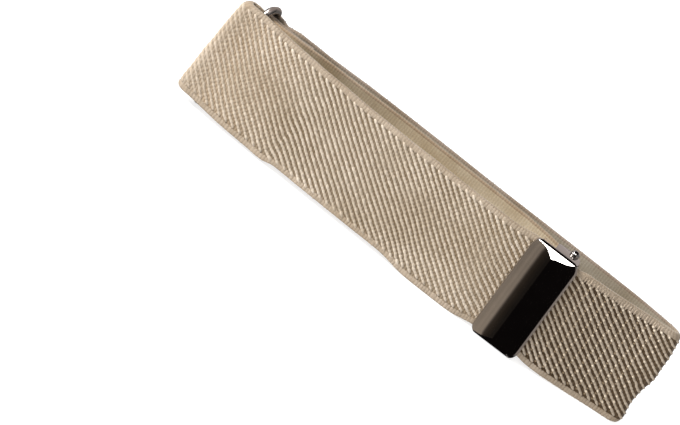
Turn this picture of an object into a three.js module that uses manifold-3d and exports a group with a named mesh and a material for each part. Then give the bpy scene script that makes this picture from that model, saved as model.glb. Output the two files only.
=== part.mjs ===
// An elastic sleeve garter standing on its long edge: an adjustable loop of 25 mm elastic with a wire ring at its
// left end and a polished slider near its right end. Millimetres, +Z up, +X along the loop, +Y to its back.
// The origin is under the middle of the loop's box, on the surface that it stands on.
import * as THREE from 'three';
import Module from 'manifold-3d';
import { mergeVertices } from 'three/addons/utils/BufferGeometryUtils.js';

// Loop
const loopLength = 117.6;
const loopDepth = 14.6;
const frontDepth = 2.1; // how far the slider's crown stands in front of the front ply

// Elastic
const strapWidth = 25;
const strapThickness = 1.2;
const selvageRound = 0.3; // chamfer of the strap's long edges
const splay = 0.014; // the loop is this much longer at its lower edge than at its upper edge

// Wire ring
const wireRadius = 0.9;
const ringHeight = 28.1; // outside
const ringLift = 0.2; // the strap holds the ring this far off the table
const ringStrapLow = 1.7; // height of the strap's lower edge in the ring
const frontBar = { x: 5.0, y: 2.3 };
const rearBar = { x: 6.9, y: 6.65 };
const ringCorner = 1.9; // centre line radius

// Slider
const plateLeft = 80.1;
const plateWidth = 11.8;
const plateHeight = 26.2;
const plateCorner = { across: 1.8, up: 2.4 }; // half axes of the plate's rounded corners
const plateSheet = 0.6;
const plateEdge = -0.7; // front of the plate's rim
const plateRear = -0.1;
const endBevel = 2.0; // height of the sloping borders at the plate's two ends
const crest = 1.4; // how far the front's highest line stands before the rim
const earDepth = 5.0;
const earInset = 0.15; // the ears lie this far inside the plate's two ends
const earLeft = 4.6;
const earRight = 10.7;
const crossBar = { x: 88.9, y: 3.75 };
const barRadius = 0.8;
const barClearance = 0.2;
const rivetRadius = 1.1;
const sliderLean = THREE.MathUtils.degToRad(1);
const plateSkew = THREE.MathUtils.degToRad(1); // the domed front's sides lean this much further than its ears

// Gaps and turns of the strap
const wrapGap = 0.2;
const ringTurn = wireRadius + wrapGap + strapThickness / 2;
const barTurn = barRadius + wrapGap + strapThickness / 2;
const foldTurn = 1.25; // centre line radius of the left fold

// Centre line of the strap seen from above, in order from the end sewn round the slider's cross bar to the end
// sewn round the ring. x runs from the left tip and y from the front ply's face. low is the height of the lower
// edge and width the strap's width there.
const innerPly = [
  { x: 85.5, y: 5.75, low: 1.17, width: 24.1 },
  { x: 82.0, y: 6.3, low: 0.9, width: 24.6 },
  { x: 76.0, y: 7.2, low: 0.5, width: 25 },
  { x: 66.0, y: 8.0, low: 0.2, width: 25 },
  { x: 54.0, y: 8.2, low: 0.1, width: 25 },
  { x: 42.0, y: 7.8, low: 0.2, width: 25 },
  { x: 32.0, y: 6.4, low: 0.5, width: 25 },
  { x: 22.0, y: 4.2, low: 1.1, width: 25 },
  { x: 13.0, y: 2.4, low: 1.5, width: 25 },
  { x: 9.0, y: 2.8, low: 1.95, width: 24.2 },
  { x: 7.0, y: 3.55, low: 2.35, width: 23.6 },
  { x: 5.4, y: 4.0, low: 2.35, width: 23.6 },
  { x: 4.0, y: 3.75, low: 2.25, width: 23.9 },
  { x: 2.7, y: 3.2, low: 1.8, width: 24.8 },
];
const frontPly = [
  { x: 3.2, y: 0.6, low: 1.7, width: 25 },
  { x: 5.5, y: 0.55, low: 1.5, width: 25.2 },
  { x: 12, y: 0.4, low: 0.95, width: 25.15 },
  { x: 19.0, y: 0.3, low: 0.7, width: 25 },
  { x: 24.0, y: 0.2, low: 0.6, width: 24.9 },
  { x: 26.0, y: 0.2, low: 1.1, width: 24.3 },
  { x: 34.0, y: 0.1, low: 1.1, width: 24.0 },
  { x: 46.0, y: 0.0, low: 1.0, width: 24.0 },
  { x: 56.0, y: -0.1, low: 0.9, width: 24.1 },
  { x: 62.0, y: -0.2, low: 0.1, width: 25 },
  { x: 69.0, y: -0.2, low: 0, width: 25.1 },
  { x: 75.5, y: 0.1, low: 0.1, width: 25.1 },
  { x: 79.8, y: 0.75, low: 0.7, width: 24.9 },
  { x: 82.8, y: 0.82, low: 0.9, width: 24.7 },
  { x: 84.7, y: 0.85, low: 1.27, width: 24.0 },
  { x: 88.5, y: 0.85, low: 1.27, width: 24.0 },
  { x: 91.9, y: 1.1, low: 1.27, width: 24.0 },
  { x: 94.0, y: 1.6, low: 0.8, width: 24.8 },
  { x: 98.0, y: 2.8, low: 0.4, width: 25 },
  { x: 104.5, y: 5.2, low: 0.1, width: 25 },
  { x: 110.5, y: 7.3, low: 0, width: 25 },
  { x: 115.2, y: 8.5, low: 0, width: 25 },
];
const rightFold = [
  { x: 116.8, y: 9.1, low: 0, width: 25 },
  { x: 117.0, y: 9.9, low: 0, width: 25 },
  { x: 115.8, y: 10.6, low: 0, width: 25 },
];
const rearPly = [
  { x: 111.8, y: 11.2, low: 0, width: 25 },
  { x: 105.0, y: 11.8, low: 0, width: 25 },
  { x: 94.0, y: 11.8, low: 0, width: 25 },
  { x: 80.0, y: 11.6, low: 0, width: 25 },
  { x: 66.0, y: 11.3, low: 0, width: 25 },
  { x: 52.0, y: 11.4, low: 0, width: 25 },
  { x: 42.0, y: 11.0, low: 0.1, width: 25 },
  { x: 32.0, y: 9.6, low: 0.5, width: 25 },
  { x: 22, y: 7.6, low: 1.1, width: 24.75 },
  { x: 17.5, y: 6.7, low: 1.4, width: 24.8 },
  { x: 14, y: 5.95, low: 1.7, width: 24.8 },
  { x: 12.2, y: 5.9, low: 1.85, width: 24.5 },
  { x: 10.4, y: 6.0, low: 2.27, width: 23.65 },
];

// Stations round a bar: the strap turns about (x, y) at the given radius between two angles, in degrees
function turn(centre, radius, from, to, low, width) {
  const steps = Math.ceil(Math.abs(to - from) / 30);
  return Array.from({ length: steps + 1 }, (_, i) => {
    const angle = THREE.MathUtils.degToRad(from + (to - from) * i / steps);
    return {
      x: centre.x + radius * Math.cos(angle),
      y: centre.y + radius * Math.sin(angle),
      low,
      width,
    };
  });
}

const tailAtSlider = [
  { x: 81.8, y: 4.0, low: 1.0, width: 24.3 },
  { x: 84.5, y: 2.85, low: 1.17, width: 24.1 },
];
const tailAtRing = [
  { x: 10.0, y: 4.55, low: 2.27, width: 23.65 },
  { x: 13.5, y: 4.45, low: 1.9, width: 24.0 },
  { x: 17.5, y: 5.1, low: 1.7, width: 24.2 },
];

function strapStations() {
  return [
    ...tailAtSlider,
    ...turn(crossBar, barTurn, -115, 100, 1.17, 24.1),
    ...innerPly,
    ...turn({ x: foldTurn + strapThickness / 2, y: 0.6 + foldTurn }, foldTurn, 130, 230, ringStrapLow, 25),
    ...frontPly,
    ...rightFold,
    ...rearPly,
    ...turn(rearBar, ringTurn, 70, 280, 2.32, 23.65),
    ...tailAtRing,
  ];
}

// A closed solid through equal loops of points; an open one gets a flat cap at each end
function loft(loops, closed) {
  const count = loops[0].length;
  const index = [];
  const last = closed ? loops.length : loops.length - 1;
  for (let i = 0; i < last; i++) {
    const here = i * count;
    const next = ((i + 1) % loops.length) * count;
    for (let j = 0; j < count; j++) {
      const k = (j + 1) % count;
      index.push(here + j, here + k, next + k);
      index.push(here + j, next + k, next + j);
    }
  }
  const end = (loops.length - 1) * count;
  for (let j = 1; !closed && j < count - 1; j++) {
    index.push(0, j + 1, j);
    index.push(end, end + j, end + j + 1);
  }
  const geometry = new THREE.BufferGeometry().setFromPoints(loops.flat());
  geometry.setIndex(index);
  geometry.computeVertexNormals();
  return geometry;
}

// The loop is a little longer at its lower edge, so what stands upright in it leans outwards
function splayed(point, low) {
  const longer = 1 + splay * (0.5 - (point.z - low) / strapWidth);
  return new THREE.Vector3(point.x * longer, point.y, point.z);
}

// The strap's section: a flat band with chamfered long edges, standing on edge across its own path
function strapLoop(point, side, width) {
  const half = strapThickness / 2;
  const across = [
    [half, selvageRound],
    [half, width - selvageRound],
    [half - selvageRound, width],
    [selvageRound - half, width],
    [-half, width - selvageRound],
    [-half, selvageRound],
    [selvageRound - half, 0],
    [half - selvageRound, 0],
  ];
  return across.map(([out, up]) => splayed(new THREE.Vector3(
    point.x + side.x * out - loopLength / 2,
    point.y + side.y * out - loopDepth / 2 + frontDepth,
    point.z + up,
  ), point.z));
}

function elasticStrap() {
  const stations = strapStations();
  const path = new THREE.CatmullRomCurve3(
    stations.map(({ x, y, low }) => new THREE.Vector3(x, y, low)),
    false,
    'centripetal',
  );
  const samplesPerSpan = 3;
  const samples = (stations.length - 1) * samplesPerSpan;
  const loops = [];
  for (let i = 0; i <= samples; i++) {
    const t = i / samples;
    const station = Math.min(Math.floor(i / samplesPerSpan), stations.length - 2);
    const part = i / samplesPerSpan - station;
    const width = THREE.MathUtils.lerp(stations[station].width, stations[station + 1].width, part);
    const tangent = path.getTangent(t).setZ(0).normalize();
    const side = new THREE.Vector3(-tangent.y, tangent.x, 0);
    const point = path.getPoint(t);
    loops.push(strapLoop(point.setZ(Math.max(0, point.z)), side, width));
  }
  return loft(loops, false);
}

// The ring's centre line is an upright rounded rectangle in the plane through its two bars
function wireRing() {
  const along = new THREE.Vector3(rearBar.x - frontBar.x, rearBar.y - frontBar.y, 0).normalize();
  const across = new THREE.Vector3().crossVectors(along, new THREE.Vector3(0, 0, 1));
  const middle = new THREE.Vector3(
    (frontBar.x + rearBar.x) / 2 - loopLength / 2,
    (frontBar.y + rearBar.y) / 2 - loopDepth / 2 + frontDepth,
    ringLift + ringHeight / 2,
  );
  const reachAlong = Math.hypot(rearBar.x - frontBar.x, rearBar.y - frontBar.y) / 2 - ringCorner;
  const reachUp = ringHeight / 2 - wireRadius - ringCorner;
  const cornerSteps = 5;
  const wireSides = 10;
  const loops = [];
  for (const [quarter, alongSign, upSign] of [[0, 1, 1], [1, -1, 1], [2, -1, -1], [3, 1, -1]]) {
    const corner = middle.clone().addScaledVector(along, alongSign * reachAlong);
    corner.z += upSign * reachUp;
    for (let i = 0; i <= cornerSteps; i++) {
      const angle = Math.PI / 2 * (quarter + i / cornerSteps);
      const outward = along.clone().multiplyScalar(Math.cos(angle)).setZ(Math.sin(angle));
      loops.push(Array.from({ length: wireSides }, (_, j) => {
        const turnAngle = 2 * Math.PI * j / wireSides;
        const point = corner.clone()
          .addScaledVector(outward, ringCorner + wireRadius * Math.cos(turnAngle))
          .addScaledVector(across, -wireRadius * Math.sin(turnAngle));
        return splayed(point, ringStrapLow);
      }));
    }
  }
  return loft(loops, true);
}

const wasm = await Module();
wasm.setup();

function toSolid(geometry) {
  const bare = geometry.clone();
  bare.deleteAttribute('normal');
  bare.deleteAttribute('uv');
  const merged = mergeVertices(bare, 1e-4);
  return new wasm.Manifold(new wasm.Mesh({
    numProp: 3,
    vertProperties: merged.attributes.position.array,
    triVerts: new Uint32Array(merged.index.array),
  }));
}

function toGeometry(solid) {
  const mesh = solid.getMesh();
  const geometry = new THREE.BufferGeometry();
  geometry.setAttribute('position', new THREE.BufferAttribute(new Float32Array(mesh.vertProperties), 3));
  geometry.setIndex(new THREE.BufferAttribute(new Uint32Array(mesh.triVerts), 1));
  geometry.computeVertexNormals();
  return geometry;
}

// Crown of the plate seen from above: share of the width from the left, and distance in front of the rim
const crown = [
  { across: 0.01, proud: 0.32 },
  { across: 0.06, proud: 0.34 },
  { across: 0.23, proud: 0.49 },
  { across: 0.265, proud: 0.56 },
  { across: 0.33, proud: 0.79 },
  { across: 0.39, proud: 1.05 },
  { across: 0.455, proud: crest },
  { across: 0.55, proud: 1.12 },
  { across: 0.77, proud: 0.76 },
  { across: 0.87, proud: 0.5 },
  { across: 0.96, proud: 0.22 },
];

// A block with the plate's outline seen from the front, from well before the plate to well behind it
function roundedFront(inset) {
  const right = plateWidth - inset;
  const top = plateHeight - inset;
  const { across, up } = plateCorner;
  const outline = new THREE.Shape();
  outline.absellipse(inset + across, inset + up, across, up, Math.PI, 1.5 * Math.PI, false);
  outline.absellipse(right - across, inset + up, across, up, 1.5 * Math.PI, 2 * Math.PI, false);
  outline.absellipse(right - across, top - up, across, up, 0, 0.5 * Math.PI, false);
  outline.absellipse(inset + across, top - up, across, up, 0.5 * Math.PI, Math.PI, false);
  const depth = 10;
  const block = new THREE.ExtrudeGeometry(outline, { depth, bevelEnabled: false, curveSegments: 6 });
  block.rotateX(Math.PI / 2);
  block.translate(0, depth / 2, 0);
  return block;
}

// The plate's domed block with sloping ends, taken in by inset all round
function domedBlock(inset, back) {
  const plan = new THREE.Shape();
  plan.moveTo(inset, back);
  plan.lineTo(inset, plateEdge + inset);
  for (const { across, proud } of crown) {
    plan.lineTo(inset + across * (plateWidth - 2 * inset), plateEdge - proud + inset);
  }
  plan.lineTo(plateWidth - inset, plateEdge + inset);
  plan.lineTo(plateWidth - inset, back);
  const column = new THREE.ExtrudeGeometry(plan, { depth: plateHeight - 2 * inset, bevelEnabled: false });
  column.translate(0, 0, inset);

  const front = plateEdge - crest - 0.1 + inset;
  const profile = new THREE.Shape();
  profile.moveTo(back, inset);
  profile.lineTo(plateEdge + inset, inset);
  profile.lineTo(front, endBevel + inset * 0.4);
  profile.lineTo(front, plateHeight - endBevel - inset * 0.4);
  profile.lineTo(plateEdge + inset, plateHeight - inset);
  profile.lineTo(back, plateHeight - inset);
  const prism = new THREE.ExtrudeGeometry(profile, { depth: plateWidth + 2, bevelEnabled: false });
  // the profile's own x is depth and its y is height
  prism.applyMatrix4(new THREE.Matrix4().set(
    0, 0, 1, -1,
    1, 0, 0, 0,
    0, 1, 0, 0,
    0, 0, 0, 1,
  ));
  return toSolid(column).intersect(toSolid(prism)).intersect(toSolid(roundedFront(inset)));
}

function ear(bottom) {
  const pivotX = crossBar.x - plateLeft;
  const tip = earDepth - crossBar.y;
  const outline = new THREE.Shape();
  outline.moveTo(earLeft, -0.45);
  outline.lineTo(earRight, -0.45);
  outline.lineTo(earRight, 2.6);
  outline.absarc(pivotX, crossBar.y, tip, THREE.MathUtils.degToRad(20), THREE.MathUtils.degToRad(100), false);
  outline.lineTo(earLeft + 0.5, crossBar.y + tip - 0.5);
  outline.lineTo(earLeft, crossBar.y + tip - 1.0);
  const hole = new THREE.Path();
  hole.absarc(pivotX, crossBar.y, barRadius + barClearance, 0, 2 * Math.PI, true);
  outline.holes.push(hole);
  const plate = new THREE.ExtrudeGeometry(outline, {
    depth: plateSheet,
    bevelEnabled: false,
    curveSegments: 8,
  });
  plate.translate(0, 0, bottom);
  return toSolid(plate);
}

const sliderLift = Math.sin(sliderLean) * (plateWidth / 2 - plateCorner.across);

// Both slider pieces are made with the plate's lower left rim at x 0 and z 0, then leaned about the slider's middle
function placeSliderPiece(mesh) {
  const group = new THREE.Group();
  group.position.set(
    plateLeft + plateWidth / 2 - loopLength / 2,
    frontDepth - loopDepth / 2,
    plateHeight / 2 + sliderLift,
  );
  group.rotation.y = -sliderLean;
  mesh.position.set(-plateWidth / 2, 0, -plateHeight / 2);
  group.add(mesh);
  return group;
}

function sliderPlate() {
  const shear = Math.tan(plateSkew);
  const leaning = new THREE.Matrix4().set(
    1, 0, -shear, shear * plateHeight / 2,
    0, 1, 0, 0,
    0, 0, 1, 0,
    0, 0, 0, 1,
  );
  const shell = domedBlock(0, plateRear)
    .subtract(domedBlock(plateSheet, plateRear + 1))
    .transform(leaning.elements);
  return toGeometry(shell.add(ear(earInset)).add(ear(plateHeight - plateSheet - earInset)));
}

function sliderBar() {
  const headBase = plateHeight - earInset + 0.1;
  const profile = [new THREE.Vector2(0, earInset), new THREE.Vector2(barRadius, earInset)];
  profile.push(new THREE.Vector2(barRadius, headBase));
  const steps = 7;
  for (let i = 0; i <= steps; i++) {
    const angle = i / steps * Math.PI / 2;
    profile.push(new THREE.Vector2(
      i < steps ? rivetRadius * Math.cos(angle) : 0,
      headBase + rivetRadius * Math.sin(angle),
    ));
  }
  const geometry = new THREE.LatheGeometry(profile, 16);
  geometry.rotateX(Math.PI / 2);
  geometry.translate(crossBar.x - plateLeft, crossBar.y, 0);
  return geometry;
}

const beigeElastic = new THREE.MeshStandardMaterial({ color: 0xbfae93, roughness: 0.95, metalness: 0 });
const polishedNickel = new THREE.MeshStandardMaterial({ color: 0x5a5654, roughness: 0.12, metalness: 1 });
const wireNickel = new THREE.MeshStandardMaterial({ color: 0x8c8480, roughness: 0.25, metalness: 1 });

function named(name, geometry, material) {
  const mesh = new THREE.Mesh(geometry, material);
  mesh.name = name;
  return mesh;
}

const sleeveHolder = new THREE.Group();
sleeveHolder.add(named('elastic_strap', elasticStrap(), beigeElastic));
sleeveHolder.add(named('wire_ring', wireRing(), wireNickel));
sleeveHolder.add(placeSliderPiece(named('slider_plate', sliderPlate(), polishedNickel)));
sleeveHolder.add(placeSliderPiece(named('slider_bar', sliderBar(), polishedNickel)));

export default sleeveHolder;
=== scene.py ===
"""An elastic sleeve garter on its long edge: a beige twill loop, a wire ring and a polished slider."""

import math

import bpy
import numpy as np
from mathutils import Matrix, Vector


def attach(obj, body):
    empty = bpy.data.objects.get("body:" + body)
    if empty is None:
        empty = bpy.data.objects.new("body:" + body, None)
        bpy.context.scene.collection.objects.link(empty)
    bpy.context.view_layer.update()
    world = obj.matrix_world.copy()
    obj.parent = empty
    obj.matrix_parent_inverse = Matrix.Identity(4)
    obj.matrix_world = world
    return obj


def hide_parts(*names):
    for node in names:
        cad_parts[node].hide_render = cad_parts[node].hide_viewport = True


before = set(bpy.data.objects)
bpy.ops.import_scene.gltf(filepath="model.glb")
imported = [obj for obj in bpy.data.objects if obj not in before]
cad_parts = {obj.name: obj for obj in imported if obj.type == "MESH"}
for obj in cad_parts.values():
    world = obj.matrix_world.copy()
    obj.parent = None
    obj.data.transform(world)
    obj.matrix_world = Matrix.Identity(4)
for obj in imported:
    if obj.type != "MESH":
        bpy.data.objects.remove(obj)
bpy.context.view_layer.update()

MM = 0.001

# Loop. Every length below is in millimetres, in the frame of the solid model
LOOP_LENGTH = 117.6
LOOP_DEPTH = 14.6
FRONT_DEPTH = 2.1
STRAP_WIDTH = 25.0
STRAP_THICKNESS = 1.2
SPLAY = 0.014

# Wire ring
WIRE_RADIUS = 0.9
RING_HEIGHT = 28.1
RING_LIFT = 0.2
RING_STRAP_LOW = 1.7
RING_CORNER = 1.9
FRONT_BAR = (5.0, 2.3)
REAR_BAR = (6.9, 6.65)

# Slider
PLATE_LEFT = 80.1
PLATE_WIDTH = 11.8
PLATE_HEIGHT = 26.2
PLATE_CORNER = (1.8, 2.4)
PLATE_SHEET = 0.6
PLATE_EDGE = -0.7
PLATE_REAR = -0.1
END_BEVEL = 2.0
CREST = 1.4
EAR_DEPTH = 5.0
EAR_INSET = 0.15
EAR_LEFT = 4.6
EAR_RIGHT = 10.7
EAR_ROOT = -0.45
EAR_SHOULDER = 2.6
EAR_EASE = 0.12
EAR_NOTCH = 0.5
EAR_STEP = 0.6
CROSS_BAR = (88.9, 3.75)
BAR_RADIUS = 0.8
BAR_CHAMFER = 0.1
RIVET_RADIUS = 1.1
HEAD_GAP = 0.1
HEAD_NECK = 0.25
BAR_SIDES = 32
SLIDER_LEAN = math.radians(1)
PLATE_SKEW = math.radians(1)

# Turns of the strap
WRAP_GAP = 0.2
RING_TURN = WIRE_RADIUS + WRAP_GAP + STRAP_THICKNESS / 2
BAR_TURN = BAR_RADIUS + WRAP_GAP + STRAP_THICKNESS / 2
FOLD_TURN = 1.25
FOLD_CENTRE = (FOLD_TURN + STRAP_THICKNESS / 2, 1.85)

# Centre line of the strap seen from above. Columns: x from the left tip, y from the front ply's face,
# height of the lower edge, width of the strap
TAIL_AT_SLIDER = [
    (81.8, 4.0, 1.0, 24.3),
    (84.5, 2.85, 1.17, 24.1),
]
INNER_PLY = [
    (85.5, 5.75, 1.17, 24.1),
    (82.0, 6.3, 0.9, 24.6),
    (76.0, 7.2, 0.5, 25.0),
    (66.0, 8.0, 0.2, 25.0),
    (54.0, 8.2, 0.1, 25.0),
    (42.0, 7.8, 0.2, 25.0),
    (32.0, 6.4, 0.5, 25.0),
    (22.0, 4.2, 1.1, 25.0),
    (13.0, 2.4, 1.5, 25.0),
    (9.0, 2.8, 1.95, 24.2),
    (7.0, 3.55, 2.35, 23.6),
    (5.4, 4.0, 2.35, 23.6),
    (4.0, 3.75, 2.25, 23.9),
    (2.7, 3.2, 1.8, 24.8),
]
FRONT_PLY = [
    (3.2, 0.6, 1.7, 25.0),
    (5.5, 0.55, 1.5, 25.2),
    (12.0, 0.4, 0.95, 25.15),
    (19.0, 0.3, 0.7, 25.0),
    (24.0, 0.2, 0.6, 24.9),
    (26.0, 0.2, 1.1, 24.3),
    (34.0, 0.1, 1.1, 24.0),
    (46.0, 0.0, 1.0, 24.0),
    (56.0, -0.1, 0.9, 24.1),
    (62.0, -0.2, 0.1, 25.0),
    (69.0, -0.2, 0.0, 25.1),
    (75.5, 0.1, 0.1, 25.1),
    (79.8, 0.75, 0.7, 24.9),
    (82.8, 0.82, 0.9, 24.7),
    (84.7, 0.85, 1.27, 24.0),
    (88.5, 0.85, 1.27, 24.0),
    (91.9, 1.1, 1.27, 24.0),
    (94.0, 1.6, 0.8, 24.8),
    (98.0, 2.8, 0.4, 25.0),
    (104.5, 5.2, 0.1, 25.0),
    (110.5, 7.3, 0.0, 25.0),
    (115.2, 8.5, 0.0, 25.0),
]
RIGHT_FOLD = [
    (116.8, 9.1, 0.0, 25.0),
    (117.0, 9.9, 0.0, 25.0),
    (115.8, 10.6, 0.0, 25.0),
]
REAR_PLY = [
    (111.8, 11.2, 0.0, 25.0),
    (105.0, 11.8, 0.0, 25.0),
    (94.0, 11.8, 0.0, 25.0),
    (80.0, 11.6, 0.0, 25.0),
    (66.0, 11.3, 0.0, 25.0),
    (52.0, 11.4, 0.0, 25.0),
    (42.0, 11.0, 0.1, 25.0),
    (32.0, 9.6, 0.5, 25.0),
    (22.0, 7.6, 1.1, 24.75),
    (17.5, 6.7, 1.4, 24.8),
    (14.0, 5.95, 1.7, 24.8),
    (12.2, 5.9, 1.85, 24.5),
    (10.4, 6.0, 2.27, 23.65),
]
TAIL_AT_RING = [
    (10.0, 4.55, 2.27, 23.65),
    (13.5, 4.45, 1.9, 24.0),
    (17.5, 5.1, 1.7, 24.2),
]


def turn(centre, radius, start, end, low, width):
    """Stations round a bar, between two angles in degrees."""
    steps = math.ceil(abs(end - start) / 30)
    rows = []
    for i in range(steps + 1):
        angle = math.radians(start + (end - start) * i / steps)
        x = centre[0] + radius * math.cos(angle)
        y = centre[1] + radius * math.sin(angle)
        rows.append((x, y, low, width))
    return rows


# A turn's columns: centre, radius, angles from and to, height of the lower edge, width
STATIONS = (
    TAIL_AT_SLIDER
    + turn(CROSS_BAR, BAR_TURN, -115, 100, 1.17, 24.1)
    + INNER_PLY
    + turn(FOLD_CENTRE, FOLD_TURN, 130, 230, RING_STRAP_LOW, STRAP_WIDTH)
    + FRONT_PLY
    + RIGHT_FOLD
    + REAR_PLY
    + turn(REAR_BAR, RING_TURN, 70, 280, 2.32, 23.65)
    + TAIL_AT_RING
)


def smooth_path(stations, per_span=24):
    """A centripetal curve through the stations: rows of x, y, low and width."""
    table = np.array(stations)
    points, widths = table[:, :3], table[:, 3]
    padded = np.vstack([2 * points[0] - points[1], points, 2 * points[-1] - points[-2]])
    rows = []
    share = np.arange(per_span)[:, None] / per_span
    for i in range(len(points) - 1):
        p0, p1, p2, p3 = padded[i:i + 4]
        spans = ((p0, p1), (p1, p2), (p2, p3))
        d0, d1, d2 = (max(np.linalg.norm(b - a) ** 0.5, 1e-4) for a, b in spans)
        t1 = ((p1 - p0) / d0 - (p2 - p0) / (d0 + d1) + (p2 - p1) / d1) * d1
        t2 = ((p2 - p1) / d1 - (p3 - p1) / (d1 + d2) + (p3 - p2) / d2) * d1
        bend = 3 * (p2 - p1) - 2 * t1 - t2
        twist = 2 * (p1 - p2) + t1 + t2
        curve = p1 + t1 * share + bend * share ** 2 + twist * share ** 3
        rows.append(np.hstack([curve, widths[i] + (widths[i + 1] - widths[i]) * share]))
    rows.append(table[-1:])
    return np.vstack(rows)


PATH = smooth_path(STATIONS)
PATH[:, 2] = np.maximum(PATH[:, 2], 0)
STEP = np.hypot(np.diff(PATH[:, 0]), np.diff(PATH[:, 1]))
ALONG = np.concatenate([[0], np.cumsum(STEP)])
TANGENT = np.gradient(PATH[:, :2], axis=0)
TANGENT /= np.linalg.norm(TANGENT, axis=1)[:, None]
PATH_LENGTH = ALONG[-1]
LEFT_TIP = ALONG[np.argmin(PATH[:, 0])]
RIGHT_TIP = ALONG[np.argmax(PATH[:, 0])]

# Swell of the two folded ends between their edges. Columns: height on the strap, outward push
RIGHT_SWELL = [
    (0.0, -0.5), (0.5, 0.1), (1.2, 0.5), (2.5, 0.75), (3.7, 0.4), (6.0, 0.15), (9.5, 0.45),
    (11.9, 1.0), (13.5, 1.25), (16.0, 1.1), (19.0, 1.05), (23.0, 0.6), (24.3, 0.25), (25.0, -0.3),
]
LEFT_SWELL = [
    (0.0, -0.3), (0.3, 0.1), (0.9, 0.4), (5.0, 0.35), (8.0, 0.5), (10.5, 0.6), (13.0, 0.5),
    (16.0, 0.6), (18.7, 0.6), (21.4, 0.55), (23.4, 0.5), (24.2, 0.2), (24.7, -0.2), (25.0, -0.7),
]
SWELL_REACH = 4.0
# Length of the strap's end that turns round the ring
RING_END = 25


def swell(s, h):
    """How far a fold stands out in x, with s along the strap and h up it."""
    push = np.zeros(np.broadcast(s, h).shape)
    for tip, table, sign in ((RIGHT_TIP, RIGHT_SWELL, 1), (LEFT_TIP, LEFT_SWELL, -1)):
        heights, amounts = zip(*table)
        push = push + sign * np.interp(h, heights, amounts) * np.exp(-((s - tip) / SWELL_REACH) ** 2)
    return push


def on_strap(s, h, out):
    """Points of the strap in metres: s along it, h up it, out from its middle to its plain face."""
    s, h, out = np.broadcast_arrays(np.asarray(s, float), np.asarray(h, float), np.asarray(out, float))
    x, y, low, width = (np.interp(s, ALONG, PATH[:, i]) for i in range(4))
    tx, ty = (np.interp(s, ALONG, TANGENT[:, i]) for i in range(2))
    size = np.hypot(tx, ty)
    up = h * width / STRAP_WIDTH
    x = x - ty / size * out + swell(s, h) - LOOP_LENGTH / 2
    y = y + tx / size * out - LOOP_DEPTH / 2 + FRONT_DEPTH
    x = x * (1 + SPLAY * (0.5 - up / STRAP_WIDTH))
    return np.stack([x, y, low + up], axis=-1) * MM


def path_place(x, tip_from, tip_to):
    """Distance along the strap where it passes x, between two distances."""
    inside = (ALONG >= tip_from) & (ALONG <= tip_to)
    order = np.argsort(PATH[inside, 0])
    return float(np.interp(x, PATH[inside, 0][order], ALONG[inside][order]))


def front_at(x):
    """Distance along the strap where its front ply passes x."""
    return path_place(x, LEFT_TIP, RIGHT_TIP)


def rear_at(x):
    """Distance along the strap where its rear ply passes x."""
    return path_place(x, RIGHT_TIP, PATH_LENGTH - RING_END)


# Meshes

def linked(name, data):
    """A new object in the scene."""
    thing = bpy.data.objects.new(name, data)
    bpy.context.scene.collection.objects.link(thing)
    return thing


def mesh_object(name, points, faces, materials, indices=None, smooth=True):
    """A piece at the origin, from points in metres and faces of any size."""
    mesh = bpy.data.meshes.new(name)
    mesh.from_pydata([tuple(p) for p in points], [], [tuple(int(i) for i in f) for f in faces])
    for material in materials:
        mesh.materials.append(material)
    if indices is not None:
        mesh.polygons.foreach_set("material_index", np.asarray(indices, dtype=np.int32))
    mesh.polygons.foreach_set("use_smooth", np.full(len(mesh.polygons), smooth))
    mesh.update()
    return linked(name, mesh)


def signed_volume(points, faces):
    """Positive where the faces of a closed shell point outwards."""
    total = 0.0
    for face in faces:
        a = points[face[0]]
        for j in range(1, len(face) - 1):
            total += np.dot(a, np.cross(points[face[j]], points[face[j + 1]]))
    return total / 6


def outward(points, faces):
    """The same faces, turned to point outwards."""
    return faces if signed_volume(points, faces) > 0 else [tuple(reversed(f)) for f in faces]


def lofted(rings, closed=False):
    """Points and faces of a skin through rings of the same number of points."""
    count, sides = len(rings), len(rings[0])
    points = np.concatenate(rings)
    faces = []
    for i in range(count if closed else count - 1):
        here, there = i * sides, (i + 1) % count * sides
        for j in range(sides):
            k = (j + 1) % sides
            faces.append((here + j, here + k, there + k, there + j))
    if not closed:
        faces.append(tuple(range(sides - 1, -1, -1)))
        faces.append(tuple((count - 1) * sides + j for j in range(sides)))
    return points, outward(points, faces)


# Materials

def srgb(red, green, blue):
    """A linear colour from 0 to 255 display values."""
    def linear(value):
        value /= 255
        return value / 12.92 if value <= 0.04045 else ((value + 0.055) / 1.055) ** 2.4
    return (linear(red), linear(green), linear(blue), 1)


WHITE = srgb(255, 255, 255)


class Nodes:
    """Short ways to add nodes to a tree and to fill their inputs, by number or by name."""

    def __init__(self, tree):
        self.tree = tree

    def add(self, kind, properties=None, *values, **named):
        node = self.tree.nodes.new(kind)
        for key, value in (properties or {}).items():
            setattr(node, key, value)
        for number, value in enumerate(values):
            self.set(node, number, value)
        for key, value in named.items():
            self.set(node, key.replace("_", " ").title(), value)
        return node

    def set(self, node, socket, value):
        if isinstance(value, bpy.types.NodeSocket):
            self.tree.links.new(value, node.inputs[socket])
        else:
            node.inputs[socket].default_value = value


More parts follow.
